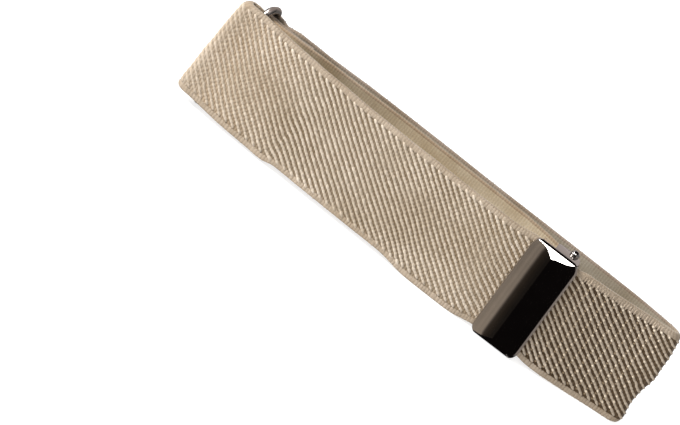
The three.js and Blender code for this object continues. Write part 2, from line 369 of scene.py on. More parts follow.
class Shader(Nodes):
    """A material's tree."""

    def __init__(self, name):
        self.material = bpy.data.materials.new(name)
        self.material.use_nodes = True
        super().__init__(self.material.node_tree)
        self.surface = self.tree.nodes["Principled BSDF"]

    def look(self, values):
        for socket, value in values.items():
            self.set(self.surface, socket, value)

    def object_place(self):
        return self.add("ShaderNodeTexCoord").outputs["Object"]

    def uv_place(self):
        return self.add("ShaderNodeTexCoord").outputs["UV"]

    def noise(self, place, scale, detail, roughness=0.5):
        given = {"vector": place, "scale": scale, "detail": detail, "roughness": roughness}
        return self.add("ShaderNodeTexNoise", **given).outputs["Fac"]

    def ramp(self, factor, stops):
        node = self.add("ShaderNodeValToRGB", fac=factor)
        while len(node.color_ramp.elements) < len(stops):
            node.color_ramp.elements.new(0.5)
        for element, (position, colour) in zip(node.color_ramp.elements, stops):
            element.position = position
            element.color = colour
        return node.outputs["Color"]

    def mix(self, factor, first, second, blend="MIX"):
        node = self.add("ShaderNodeMix", {"data_type": "RGBA", "blend_type": blend})
        self.set(node, 0, factor)
        self.set(node, 6, first)
        self.set(node, 7, second)
        return node.outputs[2]

    def bump(self, height, distance, strength):
        node = self.add("ShaderNodeBump", height=height, distance=distance, strength=strength)
        self.set(self.surface, "Normal", node.outputs["Normal"])


def yarn(name, light, dark, sheen=0.25, rough=0.85):
    """Twisted textile yarn: a colour between two by each knot's own tone, with fine fibres."""
    shader = Shader(name)
    place = shader.object_place()
    tone = shader.add("ShaderNodeAttribute", {"attribute_name": "tone"}).outputs["Fac"]
    body = shader.mix(tone, dark, light)
    patches = shader.noise(place, scale=90, detail=3)
    shade = shader.ramp(patches, [(0.3, srgb(226, 222, 214)), (0.7, WHITE)])
    coloured = shader.mix(1.0, body, shade, "MULTIPLY")
    fibres = shader.noise(place, scale=5200, detail=3, roughness=0.7)
    fleck = shader.ramp(fibres, [(0.25, srgb(205, 196, 182)), (0.75, WHITE)])
    shader.look({
        "Base Color": shader.mix(0.6, coloured, fleck, "MULTIPLY"),
        "Roughness": rough,
        "Sheen Weight": sheen,
        "Sheen Roughness": 0.4,
        "Specular IOR Level": 0.25,
    })
    shader.bump(fibres, distance=0.00006, strength=0.5)
    return shader.material


def ground_weave(name, base, deep, relief, shades):
    """Cloth between the raised yarns: fine picks that run up the strap, tinted along it by shades,
    tables that partly paint light and shade along it.
    """
    shader = Shader(name)
    place = shader.object_place()
    uv = shader.uv_place()
    picks = shader.add(
        "ShaderNodeTexWave",
        {"wave_type": "BANDS", "bands_direction": "X"},
        vector=uv,
        scale=PICK_SCALE,
        distortion=0.6,
        detail=2.0,
        detail_scale=3.0,
    )
    grain = shader.noise(place, scale=3800, detail=3, roughness=0.6)
    tint = shader.mix(picks.outputs["Fac"], deep, base)
    fleck = shader.ramp(grain, [(0.3, srgb(212, 204, 190)), (0.72, WHITE)])
    patches = shader.noise(place, scale=120, detail=2)
    worn = shader.ramp(patches, [(0.35, srgb(232, 226, 216)), (0.65, WHITE)])
    colour = shader.mix(1.0, shader.mix(0.7, tint, fleck, "MULTIPLY"), worn, "MULTIPLY")
    along = shader.add("ShaderNodeSeparateXYZ", vector=uv).outputs["X"]
    share = shader.add("ShaderNodeMath", {"operation": "MULTIPLY"}, along, STRAP_WIDTH / PATH_LENGTH)
    stops = [(s / PATH_LENGTH, tone) for s, tone in shades]
    shader.look({
        "Base Color": shader.mix(1.0, colour, shader.ramp(share.outputs[0], stops), "MULTIPLY"),
        "Roughness": 0.92,
        "Sheen Weight": 0.2,
        "Specular IOR Level": 0.2,
    })
    strands = picks.outputs["Fac"]
    height = shader.add("ShaderNodeMath", {"operation": "MULTIPLY_ADD"}, grain, 0.35, strands)
    shader.bump(height.outputs[0], distance=relief, strength=0.8)
    return shader.material


def nickel(name, colour, rough_low, rough_high):
    """Plated metal with faint polishing marks and an uneven sheen."""
    shader = Shader(name)
    place = shader.object_place()
    clouds = shader.noise(place, scale=260, detail=3)
    marks = shader.noise(place, scale=4200, detail=2, roughness=0.6)
    duller = tuple(0.88 * c for c in colour[:3]) + (1,)
    tint = shader.ramp(clouds, [(0.3, duller), (0.7, colour)])
    spread = shader.add("ShaderNodeMapRange", value=clouds, to_min=rough_low, to_max=rough_high)
    shader.look({"Metallic": 1.0, "Base Color": tint, "Roughness": spread.outputs[0]})
    shader.bump(marks, distance=0.000004, strength=0.25)
    return shader.material


# Scale of the fine picks of the ground cloth
PICK_SCALE = 12
TWILL_YARN = yarn("twill_yarn", srgb(216, 204, 189), srgb(158, 141, 121))
SELVAGE_YARN = yarn("selvage_yarn", srgb(184, 169, 152), srgb(120, 106, 90), sheen=0.3)
GROOVE_YARN = yarn("groove_yarn", srgb(164, 145, 120), srgb(136, 118, 95), sheen=0.2)
DOT_YARN = yarn("dot_yarn", srgb(242, 229, 210), srgb(214, 200, 182), sheen=0.2)
STITCH_THREAD = yarn("stitch_thread", srgb(206, 192, 172), srgb(180, 164, 142), sheen=0.3, rough=0.7)

# Tints of the ground cloth along the strap. Columns: distance, tint. The twill's is pale where the left
# fold packs it, with a cooler, dimmer tint right at the fold as painted shade, lighter just left of the
# slider as painted light, and dark where the slider stretches it, partly the stretched cloth's own look
# and partly painted shade
STRETCH_AND_PAINTED_SHADING = [
    (LEFT_TIP - 6, srgb(212, 212, 218)),
    (LEFT_TIP, srgb(228, 236, 252)),
    (LEFT_TIP + 6, srgb(250, 250, 254)),
    (LEFT_TIP + 24, srgb(200, 200, 200)),
    (front_at(60.0), srgb(200, 200, 200)),
    (front_at(79.0), srgb(224, 224, 224)),
    (front_at(91.0), srgb(128, 117, 103)),
    (RIGHT_TIP - 0.5, srgb(136, 126, 112)),
    (RIGHT_TIP + 3, srgb(206, 206, 206)),
]
TWILL_GROUND = ground_weave(
    "twill_ground", srgb(186, 168, 145), srgb(156, 138, 114), relief=0.00008, shades=STRETCH_AND_PAINTED_SHADING,
)
# Painted shade on the selvage and rim of the inner ply and of the rear ply; the front ply's stay
# untinted. Columns: distance, tint
EDGE_PAINTED_SHADE = [
    (LEFT_TIP - 9, srgb(248, 241, 232)),
    (LEFT_TIP - 1, WHITE),
    (RIGHT_TIP, WHITE),
    (RIGHT_TIP + 5, srgb(233, 231, 235)),
]
SELVAGE_GROUND = ground_weave(
    "selvage_ground", srgb(166, 152, 135), srgb(154, 140, 124), relief=0.00005, shades=EDGE_PAINTED_SHADE,
)
# Painted shade on the plain face: darkest on the inner ply some 22 mm short of the left fold, along the
# rear ply, and most where the rear ply nears the ring. Columns: distance, tint
PLAIN_PAINTED_SHADE = [
    (LEFT_TIP - 45, WHITE),
    (LEFT_TIP - 22, srgb(234, 230, 224)),
    (RIGHT_TIP - 2, WHITE),
    (RIGHT_TIP + 2, srgb(219, 224, 233)),
    (rear_at(30.0), srgb(219, 224, 233)),
    (rear_at(16.0), srgb(192, 197, 208)),
]
PLAIN_FACE = ground_weave(
    "plain_face", srgb(198, 184, 161), srgb(190, 176, 153), relief=0.00003, shades=PLAIN_PAINTED_SHADE,
)
SLIDER_NICKEL = nickel("slider_nickel", srgb(196, 190, 186), rough_low=0.06, rough_high=0.14)
RING_NICKEL = nickel("ring_nickel", srgb(170, 162, 156), rough_low=0.16, rough_high=0.26)

# Elastic strap: the ground cloth that carries the raised yarns

TWILL_DEPTH = 0.42
# Half thickness of the strap up from an edge. Columns: height, on the twill face, on the plain face
SECTION = [
    (0.0, 0.22, 0.22),
    (0.08, 0.38, 0.38),
    (0.22, 0.5, 0.5),
    (0.5, 0.56, 0.55),
    (0.95, 0.56, 0.55),
    (1.2, 0.5, 0.55),
    (1.4, TWILL_DEPTH, 0.55),
]
# How far from an edge the selvage reaches on the twill face, and the rim on the plain face, which takes
# the selvage's cloth and with it the painted shade on the edges
SELVAGE_REACH = 1.3
RIM_REACH = 0.4
FACE_STEPS = 22
STRAP_STEP = 0.5


def ground_strap():
    """The ribbon that carries the raised yarns: a skin through the sections along it, with two caps."""
    edge_heights = [row[0] for row in SECTION]
    middle = np.linspace(SECTION[-1][0], STRAP_WIDTH - SECTION[-1][0], FACE_STEPS + 1)[1:-1]
    heights = np.concatenate([edge_heights, middle, STRAP_WIDTH - np.array(edge_heights[::-1])])
    from_edge = np.minimum(heights, STRAP_WIDTH - heights)
    twill, bare = (np.interp(from_edge, edge_heights, [row[i] for row in SECTION]) for i in (1, 2))
    loop_h = np.concatenate([heights, heights[::-1]])
    loop_out = np.concatenate([-twill, bare[::-1]])
    places = np.linspace(0, PATH_LENGTH, int(PATH_LENGTH / STRAP_STEP))
    grid = on_strap(places[:, None], loop_h[None, :], loop_out[None, :])
    sides = len(loop_h)
    points = grid.reshape(-1, 3)
    faces, kinds, corners = [], [], []
    up = np.concatenate([heights, 2 * STRAP_WIDTH - heights[::-1]])
    for i in range(len(places) - 1):
        for j in range(sides):
            k = (j + 1) % sides
            faces.append((i * sides + j, i * sides + k, (i + 1) * sides + k, (i + 1) * sides + j))
            v0 = up[j]
            v1 = up[k] if k else 2 * STRAP_WIDTH
            corners.append(((places[i], v0), (places[i], v1), (places[i + 1], v1), (places[i + 1], v0)))
            centre = (loop_h[j] + loop_h[k]) / 2
            on_twill_face = j < len(heights) - 1
            reach = SELVAGE_REACH if on_twill_face else RIM_REACH
            on_selvage = min(centre, STRAP_WIDTH - centre) < reach
            kinds.append(1 if on_selvage else 0 if on_twill_face else 2)
    if signed_volume(points, faces) < 0:
        faces = [tuple(reversed(f)) for f in faces]
        corners = [tuple(reversed(c)) for c in corners]
    end = (len(places) - 1) * sides
    first, last = tuple(range(sides)), tuple(end + j for j in range(sides - 1, -1, -1))
    # a cap continues the winding of the skin that it closes
    a, b = faces[0][0], faces[0][1]
    for cap in (first, last) if b < a else (first[::-1], last[::-1]):
        faces.append(cap)
        corners.append(tuple((0.0, loop_h[i % sides]) for i in cap))
        kinds.append(1)
    materials = [TWILL_GROUND, SELVAGE_GROUND, PLAIN_FACE]
    strap = mesh_object("elastic_strap_cloth", points, faces, materials, kinds)
    layer = strap.data.uv_layers.new(name="strap")
    flat = np.array([uv for face in corners for uv in face]) / STRAP_WIDTH
    layer.data.foreach_set("uv", flat.ravel())
    return strap


# Knots of yarn, laid on the strap by one node tree

def knot_tree():
    """Lays a domed knot on every point, along its own rib, with a little spread in size."""
    nodes = Nodes(bpy.data.node_groups.new("knots_on_strap", "GeometryNodeTree"))
    face = nodes.tree.interface
    face.new_socket("Geometry", in_out="INPUT", socket_type="NodeSocketGeometry")
    for name in ("Length", "Breadth", "Height", "Spread"):
        face.new_socket(name, in_out="INPUT", socket_type="NodeSocketFloat")
    face.new_socket("Seed", in_out="INPUT", socket_type="NodeSocketInt")
    face.new_socket("Finish", in_out="INPUT", socket_type="NodeSocketMaterial")
    face.new_socket("Geometry", in_out="OUTPUT", socket_type="NodeSocketGeometry")

    def add(*given, **named):
        return nodes.add(*given, **named).outputs[0]

    def stored(name, kind="FLOAT_VECTOR"):
        return add("GeometryNodeInputNamedAttribute", {"data_type": kind}, name)

    source = nodes.add("NodeGroupInput").outputs
    sphere = add("GeometryNodeMeshUVSphere", segments=8, rings=6, radius=1.0)
    place = nodes.add("ShaderNodeSeparateXYZ", vector=add("GeometryNodeInputPosition")).outputs
    comparing = {"data_type": "FLOAT", "operation": "LESS_THAN"}
    under = add("FunctionNodeCompare", comparing, place["Z"], -0.01)
    dome = add("GeometryNodeDeleteGeometry", {"domain": "POINT"}, geometry=sphere, selection=under)
    turning = "FunctionNodeAlignRotationToVector"
    upright = add(turning, {"axis": "Z"}, vector=stored("outward"))
    aligned = add(turning, {"axis": "X", "pivot_axis": "Z"}, vector=stored("rib"), rotation=upright)
    size = add("ShaderNodeCombineXYZ", None, source["Length"], source["Breadth"], source["Height"])
    half = add("ShaderNodeVectorMath", {"operation": "MULTIPLY"}, size, (0.5, 0.5, 1.0))
    limits = {}
    for name, operation in (("Min", "SUBTRACT"), ("Max", "ADD")):
        limits[name] = add("ShaderNodeMath", {"operation": operation}, 1.0, source["Spread"])
    chance = nodes.add("FunctionNodeRandomValue", {"data_type": "FLOAT"}, seed=source["Seed"])
    for number, socket in enumerate(chance.inputs):
        if socket.enabled and socket.name in limits:
            nodes.set(chance, number, limits[socket.name])
    share = next(out for out in chance.outputs if out.enabled)
    own = add("ShaderNodeMath", {"operation": "MULTIPLY"}, stored("size", "FLOAT"), share)
    scaled = add("ShaderNodeVectorMath", {"operation": "SCALE"}, half, scale=own)
    laid = add(
        "GeometryNodeInstanceOnPoints",
        points=source["Geometry"],
        instance=dome,
        rotation=aligned,
        scale=scaled,
    )
    real = add("GeometryNodeRealizeInstances", geometry=laid)
    soft = add("GeometryNodeSetShadeSmooth", geometry=real)
    finish = add("GeometryNodeSetMaterial", geometry=soft, material=source["Finish"])
    nodes.add("NodeGroupOutput", geometry=finish)
    return nodes.tree


KNOTS = knot_tree()

# Kinds of knot. Columns: yarn, length, breadth, height, place of its foot across the strap, spread
RIB = (TWILL_YARN, 1.6, 0.68, 0.39, -TWILL_DEPTH + 0.02, 0.06)
DOT = (DOT_YARN, 0.62, 0.52, 0.26, -TWILL_DEPTH - 0.22, 0.15)
LOOP = (SELVAGE_YARN, 1.5, 0.5, 0.26, -0.5, 0.15)
BRIDGE = (GROOVE_YARN, 0.55, 0.5, 0.2, -TWILL_DEPTH + 0.03, 0.15)
TICK = (SELVAGE_YARN, 1.35, 0.78, 0.07, -0.52, 0.15)
STITCH = (STITCH_THREAD, 1.0, 0.34, 0.2, -0.58, 0.05)
# Rises of the threads that are no ribs: how far they climb per millimetre along the strap
UPRIGHT = 50.0
LOOP_RISE = 12.0
BRIDGE_RISE = -0.65
ZIGZAG_RISE = 0.8
# Half the distance over which a knot's own directions are read off the strap
NUDGE = 0.1


def lay_knots(name, kind, seed, s, h, rise, tone, size=1.0, sunk=0.0):
    """A piece of knots at places on the strap. rise is how far h climbs per millimetre along it."""
    finish, length, breadth, height, foot, spread = kind
    given = np.broadcast_arrays(s, h, foot + sunk, rise, size, tone)
    s, h, out, rise, size, tone = (np.array(values, float) for values in given)
    here = on_strap(s, h, out)
    lean = np.hypot(1, rise)
    ds, dh = NUDGE / lean, NUDGE * rise / lean
    ahead = on_strap(s + ds, h + dh, out) - on_strap(s - ds, h - dh, out)
    side = on_strap(s, h, out + NUDGE) - here
    facing = np.where(out < 0, -1.0, 1.0)[:, None] * side
    mesh = bpy.data.meshes.new(name + "_places")
    mesh.from_pydata([tuple(p) for p in here], [], [])
    for label, values in (("outward", facing), ("rib", ahead)):
        unit = values / np.linalg.norm(values, axis=1)[:, None]
        mesh.attributes.new(label, "FLOAT_VECTOR", "POINT").data.foreach_set("vector", unit.ravel())
    for label, values in (("size", size), ("tone", tone)):
        mesh.attributes.new(label, "FLOAT", "POINT").data.foreach_set("value", values)
    carrier = linked(name + "_places", mesh)
    modifier = carrier.modifiers.new("knots", "NODES")
    modifier.node_group = KNOTS
    wanted = {
        "Length": length * MM,
        "Breadth": breadth * MM,
        "Height": height * MM,
        "Spread": spread,
        "Seed": seed,
        "Finish": finish,
    }
    for item in KNOTS.interface.items_tree:
        if item.in_out == "INPUT" and item.name in wanted:
            modifier[item.identifier] = wanted[item.name]
    graph = bpy.context.evaluated_depsgraph_get()
    baked = bpy.data.meshes.new_from_object(carrier.evaluated_get(graph), depsgraph=graph)
    baked.name = name
    carrier.modifiers.remove(modifier)
    bpy.data.objects.remove(carrier)
    bpy.data.meshes.remove(mesh)
    return linked(name, baked)


# Twill: height from one rib to the next
RIB_RISE = 1.432
# Length from one rib to the next. Columns: distance along the strap, length there
RIB_PITCH = [
    (0.0, 1.95),
    (LEFT_TIP - 10, 1.9),
    (LEFT_TIP, 1.45),
    (LEFT_TIP + 7, 1.7),
    (LEFT_TIP + 14, 1.94),
    (front_at(78.0), 1.94),
    (front_at(94.0), 2.2),
    (front_at(105.0), 2.25),
    (RIGHT_TIP - 2, 1.9),
    (RIGHT_TIP + 6, 1.95),
    (PATH_LENGTH, 1.95),
]
# Rows of the front ply's selvages. Columns: x, height of the upper border, height of the lower border
SELVAGE = [
    (2.0, 23.7, 1.6),
    (24.0, 23.6, 1.5),
    (27.0, 23.6, 1.0),
    (56.0, 23.8, 1.0),
    (62.0, 23.9, 1.6),
    (80.0, 23.8, 1.6),
    (94.0, 23.4, 1.5),
    (116.0, 23.5, 1.5),
]

FINE = np.linspace(0, PATH_LENGTH, 8000)
PITCH_HERE = np.interp(FINE, *zip(*RIB_PITCH))
RIB_COUNT = np.concatenate([[0], np.cumsum(np.diff(FINE) / ((PITCH_HERE[1:] + PITCH_HERE[:-1]) / 2))])
KNOTS_PER_PITCH = 3


def selvage_borders(s):
    """Heights of the upper and the lower end of the ribs at a distance along the strap."""
    columns = list(zip(*SELVAGE))
    places = [front_at(x) for x in columns[0]]
    return np.interp(s, places, columns[1]), np.interp(s, places, columns[2])


def twill_places(start, end):
    """Places of the raised knots between two distances along the strap, with each rib's slope."""
    first = math.ceil(np.interp(start, FINE, RIB_COUNT) * KNOTS_PER_PITCH)
    last = math.floor(np.interp(end, FINE, RIB_COUNT) * KNOTS_PER_PITCH)
    rows = []
    for column in range(first, last + 1):
        s = float(np.interp(column / KNOTS_PER_PITCH, RIB_COUNT, FINE))
        upper, lower = selvage_borders(s)
        pitch = float(np.interp(s, FINE, PITCH_HERE))
        for row in range(0, int(STRAP_WIDTH / RIB_RISE * KNOTS_PER_PITCH) + 1):
            h = row * RIB_RISE / KNOTS_PER_PITCH
            if (row + column) % KNOTS_PER_PITCH == 0 and lower <= h <= upper:
                bright = column % KNOTS_PER_PITCH == 0 or h + RIB_RISE / KNOTS_PER_PITCH > upper
                rows.append((s, h, -RIB_RISE / pitch, bright))
    return np.array(rows, float).T


# The twill is stretched from the slider to the right fold
STRETCHED_FROM, STRETCHED_TO = front_at(92.0), RIGHT_TIP + 0.5
# Knots there take a darker tone, partly the stretched twill's own look and partly painted shade
STRETCHED_SHADED_TONE = 0.54
RIB_TONE = 0.74
BRIGHT_TONE = 0.13
# How far the left fold packs the ribs, how much painted shade darkens them there, and how much it sinks
# them. The right fold only sinks them
PACKED_REACH = 7
PACKED_PAINTED_SHADE = 0.34
PACKED_SINK = 0.1
FOLD_REACH = 3
FOLD_SINK = 0.2


def twill(name, start, end, seed):
    """The raised knots of the ribs between two distances along the strap."""
    s, h, slope, bright = twill_places(start, end)
    draw = np.random.default_rng(seed)
    wander = draw.normal(0, 0.03, (2, len(s)))
    stretched = (s > STRETCHED_FROM) & (s < STRETCHED_TO)
    packed = np.exp(-((s - LEFT_TIP) / PACKED_REACH) ** 2)
    folded = np.exp(-((s - RIGHT_TIP) / FOLD_REACH) ** 2)
    tone = np.where(stretched, STRETCHED_SHADED_TONE, RIB_TONE + BRIGHT_TONE * bright)
    tone = tone + draw.normal(0, 0.08, len(s))
    # painted shade darkens the knots at the left fold
    tone = np.clip(tone - PACKED_PAINTED_SHADE * packed, 0, 1)
    size = np.where(stretched, 1.0, 0.98 + 0.05 * bright)
    sunk = FOLD_SINK * folded + PACKED_SINK * packed
    return lay_knots(name, RIB, seed, s + wander[0], h + wander[1], slope, tone, size, sunk)


strap = ground_strap()
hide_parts("elastic_strap")
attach(strap, "root")

# Parts of the twill along the strap, and what the knots leave free between them and at the strap's ends
FRONT_START, FRONT_END = LEFT_TIP - 1.0, RIGHT_TIP + 0.5
PLY_GAP = 0.1
END_MARGIN = 0.4
cloth_pieces = [
    twill("twill_ribs_front", FRONT_START, FRONT_END, 11),
    twill("twill_ribs_rear", FRONT_END + PLY_GAP, PATH_LENGTH - END_MARGIN, 12),
    twill("twill_ribs_inner", END_MARGIN, FRONT_START - PLY_GAP, 13),
]


def bright_dots(name, seed):
    """Right of the slider each rib shows a bright thread once in every column."""
    s, h, slope, bright = twill_places(STRETCHED_FROM, RIGHT_TIP - 2)
    s, h, slope = (values[bright > 0] for values in (s, h, slope))
    draw = np.random.default_rng(seed)
    s = s + draw.normal(0, 0.11, len(s))
    tone = draw.uniform(0, 1, len(s))
    return lay_knots(name, DOT, seed, s, h, slope, tone)


# Where the bright columns start and end in x, and the threads of a loop beside its column
BRIGHT_COLUMNS = (93.0, 114.0)
LOOP_THREADS = (-0.35, 0.35, 1.1)
LOOP_LIFT = 0.45
BRIDGE_OFFSET = 0.1


def stretched_columns():
    """Distances along the strap of the bright columns right of the slider."""
    first, last = (np.interp(front_at(x), FINE, RIB_COUNT) for x in BRIGHT_COLUMNS)
    return np.interp(np.arange(math.ceil(first), math.floor(last) + 1), RIB_COUNT, FINE)


def rib_ends(name, seed):
    """Right of the slider the selvage's threads stand in upright loops over the ribs' ends."""
    draw = np.random.default_rng(seed)
    s = (stretched_columns()[:, None] + np.array(LOOP_THREADS)).ravel()
    s = s + draw.normal(0, 0.08, len(s))
    h = selvage_borders(s)[0] + LOOP_LIFT + draw.normal(0, 0.08, len(s))
    tone = draw.uniform(0.75, 1, len(s))
    return lay_knots(name, LOOP, seed, s, h, LOOP_RISE, tone)


def groove_bridges(name, seed):
    """Low dark threads that cross the opened grooves once in every column."""
    draw = np.random.default_rng(seed)
    rows = []
    for s in stretched_columns():
        upper, lower = selvage_borders(s)
        for h in np.arange(RIB_RISE / 2, STRAP_WIDTH, RIB_RISE):
            if lower <= h <= upper:
                rows.append((s, h))
    s, h = np.array(rows).T
    s = s + draw.normal(0, 0.06, len(s)) + BRIDGE_OFFSET
    h = h + draw.normal(0, 0.04, len(s))
    return lay_knots(name, BRIDGE, seed, s, h, BRIDGE_RISE, tone=0.5)


cloth_pieces += [
    bright_dots("twill_dots", 16),
    rib_ends("selvage_loops", 14),
    groove_bridges("groove_bridges", 15),
]

TICK_PITCH = 0.72
TICK_INSET = 0.75
# Half lengths of the stretches at the two folds that have no picks
LEFT_BARE = 2.2
RIGHT_BARE = 1.5
# Tone of the picks along the strap, lower on the rear ply and lowest near the ring as painted shade.
# Columns: distance, tone
TICK_TONE_AND_SHADE = [
    (RIGHT_TIP, 0.87),
    (RIGHT_TIP + 4, 0.66),
    (rear_at(16.0), 0.66),
    (rear_at(12.0), 0.4),
]


def selvage_ticks(name, h, seed):
    """Short upright picks along one edge of the twill face. The two folds are free of them."""
    draw = np.random.default_rng(seed)
    s = np.arange(0.5, PATH_LENGTH - END_MARGIN, TICK_PITCH)
    s = s + draw.normal(0, 0.05, len(s))
    s = s[(abs(s - LEFT_TIP) > LEFT_BARE) & (abs(s - RIGHT_TIP) > RIGHT_BARE)]
    tone = np.interp(s, *zip(*TICK_TONE_AND_SHADE)) + draw.normal(0, 0.06, len(s))
    tone = np.clip(tone, 0, 1)
    return lay_knots(name, TICK, seed, s, h, UPRIGHT, tone)


cloth_pieces += [
    selvage_ticks("selvage_upper", STRAP_WIDTH - TICK_INSET, 21),
    selvage_ticks("selvage_lower", TICK_INSET, 22),
]

# Seams: pitch of the stitches, height of the lowest one, how high the seam is, half widths of its rows
STITCH_PITCH = 0.8
SEAM_LOW = 1.4
SEAM_HEIGHT = 22.5
SEAM_HALF = 1.5
ZIGZAG_HALF = 0.4


def stitch_rows(name, centre, seed):
    """A sewn end: a zigzag across the strap with a straight row on each side."""
    rows = []
    for k in range(int(SEAM_HEIGHT / STITCH_PITCH)):
        h = SEAM_LOW + k * STITCH_PITCH
        side = 1 if k % 2 else -1
        rows.append((centre - SEAM_HALF, h, UPRIGHT))
        rows.append((centre + SEAM_HALF, h, UPRIGHT))
        rows.append((centre + side * ZIGZAG_HALF, h, side * ZIGZAG_RISE))
    s, h, rise = np.array(rows).T
    return lay_knots(name, STITCH, seed, s, h, rise, tone=0.7)


cloth_pieces += [
    stitch_rows("ring_end_stitches", rear_at(14.0), 31),
    stitch_rows("slider_end_stitches", path_place(83.6, 10.0, LEFT_TIP), 32),
]
for piece in cloth_pieces:
    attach(piece, "root")

# Steps round each corner of the ring and round its wire
CORNER_STEPS = 12
WIRE_SIDES = 28


def wire_ring():
    """The closed wire ring: an upright oblong whose corners are rounded."""
    run = np.array([REAR_BAR[0] - FRONT_BAR[0], REAR_BAR[1] - FRONT_BAR[1]])
    length = np.hypot(*run)
    run = np.array([run[0] / length, run[1] / length, 0])
    up = np.array([0, 0, 1.0])
    across = np.cross(run, up)
    middle = np.array([
        (FRONT_BAR[0] + REAR_BAR[0]) / 2 - LOOP_LENGTH / 2,
        (FRONT_BAR[1] + REAR_BAR[1]) / 2 - LOOP_DEPTH / 2 + FRONT_DEPTH,
        RING_LIFT + RING_HEIGHT / 2,
    ])
    reach_along = length / 2 - RING_CORNER
    reach_up = RING_HEIGHT / 2 - WIRE_RADIUS - RING_CORNER
    rings = []
    for quarter, (a, u) in enumerate(((1, 1), (-1, 1), (-1, -1), (1, -1))):
        corner = middle + run * a * reach_along + up * u * reach_up
        for i in range(CORNER_STEPS + 1):
            angle = math.pi / 2 * (quarter + i / CORNER_STEPS)
            outward_dir = run * math.cos(angle) + up * math.sin(angle)
            turnings = np.linspace(0, 2 * math.pi, WIRE_SIDES, endpoint=False)[:, None]
            ring = corner + outward_dir * (RING_CORNER + WIRE_RADIUS * np.cos(turnings))
            ring = ring + across * WIRE_RADIUS * np.sin(turnings)
            ring[:, 0] *= 1 + SPLAY * (0.5 - (ring[:, 2] - RING_STRAP_LOW) / STRAP_WIDTH)
            rings.append(ring * MM)
    points, faces = lofted(rings, closed=True)
    return mesh_object("ring_wire", points, faces, [RING_NICKEL])


ring = wire_ring()
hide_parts("wire_ring")
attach(ring, "root")

# Slider

def place_slider(points):
    """From the plate's own lower left corner to its leaning place on the strap, in metres."""
    points = np.asarray(points, float)
    x = points[:, 0] - PLATE_WIDTH / 2
    z = points[:, 2] - PLATE_HEIGHT / 2
    cos, sin = math.cos(-SLIDER_LEAN), math.sin(-SLIDER_LEAN)
    lift = math.sin(SLIDER_LEAN) * (PLATE_WIDTH / 2 - PLATE_CORNER[0])
    placed = np.stack([
        x * cos + z * sin + PLATE_LEFT + PLATE_WIDTH / 2 - LOOP_LENGTH / 2,
        points[:, 1] + FRONT_DEPTH - LOOP_DEPTH / 2,
        -x * sin + z * cos + PLATE_HEIGHT / 2 + lift,
    ], axis=1)
    return placed * MM


# Crown of the plate. Columns: share of the width from the left, how far it stands in front of the rim
CREST_SHARE = 0.455
CROWN = [
    (0.0, 0.0),
    (0.01, 0.32),
    (0.06, 0.34),
    (0.15, 0.4),
    (0.23, 0.49),
    (0.265, 0.56),
    (0.33, 0.79),
    (0.39, 1.05),
    (CREST_SHARE, CREST),
    (0.55, 1.12),
    (0.77, 0.76),
    (0.87, 0.5),
    (0.96, 0.22),
    (1.0, 0.0),
]
ROUNDED = (0.05, 0.4)
# Height of the rows that carry a sloping end, and the radius that its outer border is eased to
END_ROWS = 3.0
END_EASE = 0.4
# Points of the plate's grid: across it, up a sloping end, and up between the ends. A sloping end's rows
# crowd towards the border
ACROSS_POINTS = 161
END_POINTS = 36
END_CROWDING = 1.8
MIDDLE_POINTS = 80


def softly(values, width):
    """Eases the kinks of a curve over a few samples."""
    kernel = np.hanning(width + 2)[1:-1]
    kernel /= kernel.sum()
    padded = np.pad(values, width // 2, mode="reflect", reflect_type="odd")
    return np.convolve(padded, kernel, mode="valid")


def border_of(grid):
    """The outer entries of a grid, in order round it."""
    return np.concatenate([grid[0], grid[1:, -1], grid[-1, -2::-1], grid[-2:0:-1, 0]])


def slider_plate():
    """The stamped plate: a domed front with sloping ends, and its inside a sheet's thickness behind."""
    across = np.linspace(0, 1, ACROSS_POINTS)
    across[np.abs(across - CREST_SHARE).argmin()] = CREST_SHARE
    crown = np.interp(across, *zip(*CROWN))
    rounded = (across > ROUNDED[0]) & (across < ROUNDED[1])
    crown[rounded] = softly(crown, width=13)[rounded]
    crown[0] = crown[-1] = 0
    end = END_ROWS / PLATE_HEIGHT
    near_end = end * np.linspace(0, 1, END_POINTS, endpoint=False) ** END_CROWDING
    middle = np.linspace(end, 1 - end, MIDDLE_POINTS)
    up = np.concatenate([near_end, middle, 1 - near_end[::-1]])

    def skin(inset):
        z = inset + up * (PLATE_HEIGHT - 2 * inset)
        from_end = np.minimum(z - inset, PLATE_HEIGHT - inset - z)
        short = np.clip(1 - from_end / PLATE_CORNER[1], 0, 1)
        cut = inset + PLATE_CORNER[0] * (1 - np.sqrt(1 - short ** 2))
        x = cut[:, None] + across[None, :] * (PLATE_WIDTH - 2 * cut[:, None])
        slope = CREST * from_end / END_BEVEL
        proud = np.minimum(crown[None, :], slope[:, None])
        eased = np.clip(1 - from_end / END_EASE, 0, 1)[:, None]
        y = PLATE_EDGE + inset - proud + (0 if inset else END_EASE) * (1 - np.sqrt(1 - eased ** 2))
        grid = np.stack([x, y, np.broadcast_to(z[:, None], y.shape)], axis=2)
        border = border_of(grid)
        border[:, 1] = PLATE_REAR
        return grid, border

    rows, columns = len(up), len(across)
    total = rows * columns
    front, front_border = skin(0.0)
    back, back_border = skin(PLATE_SHEET)
    points = np.concatenate([front.reshape(-1, 3), front_border, back.reshape(-1, 3), back_border])
    edge = border_of(np.arange(total).reshape(rows, columns)).tolist()
    shell = []
    for i in range(rows - 1):
        for j in range(columns - 1):
            here = i * columns + j
            shell.append((here, here + 1, here + columns + 1, here + columns))
    pairs = [(k, (k + 1) % len(edge)) for k in range(len(edge))]
    for k, n in pairs:
        shell.append((edge[k], total + k, total + n, edge[n]))
    second = total + len(edge)
    faces = shell + [tuple(second + i for i in reversed(quad)) for quad in shell]
    for k, n in pairs:
        faces.append((total + k, second + total + k, second + total + n, total + n))
    points[:, 0] -= math.tan(PLATE_SKEW) * (points[:, 2] - PLATE_HEIGHT / 2)
    return points, faces


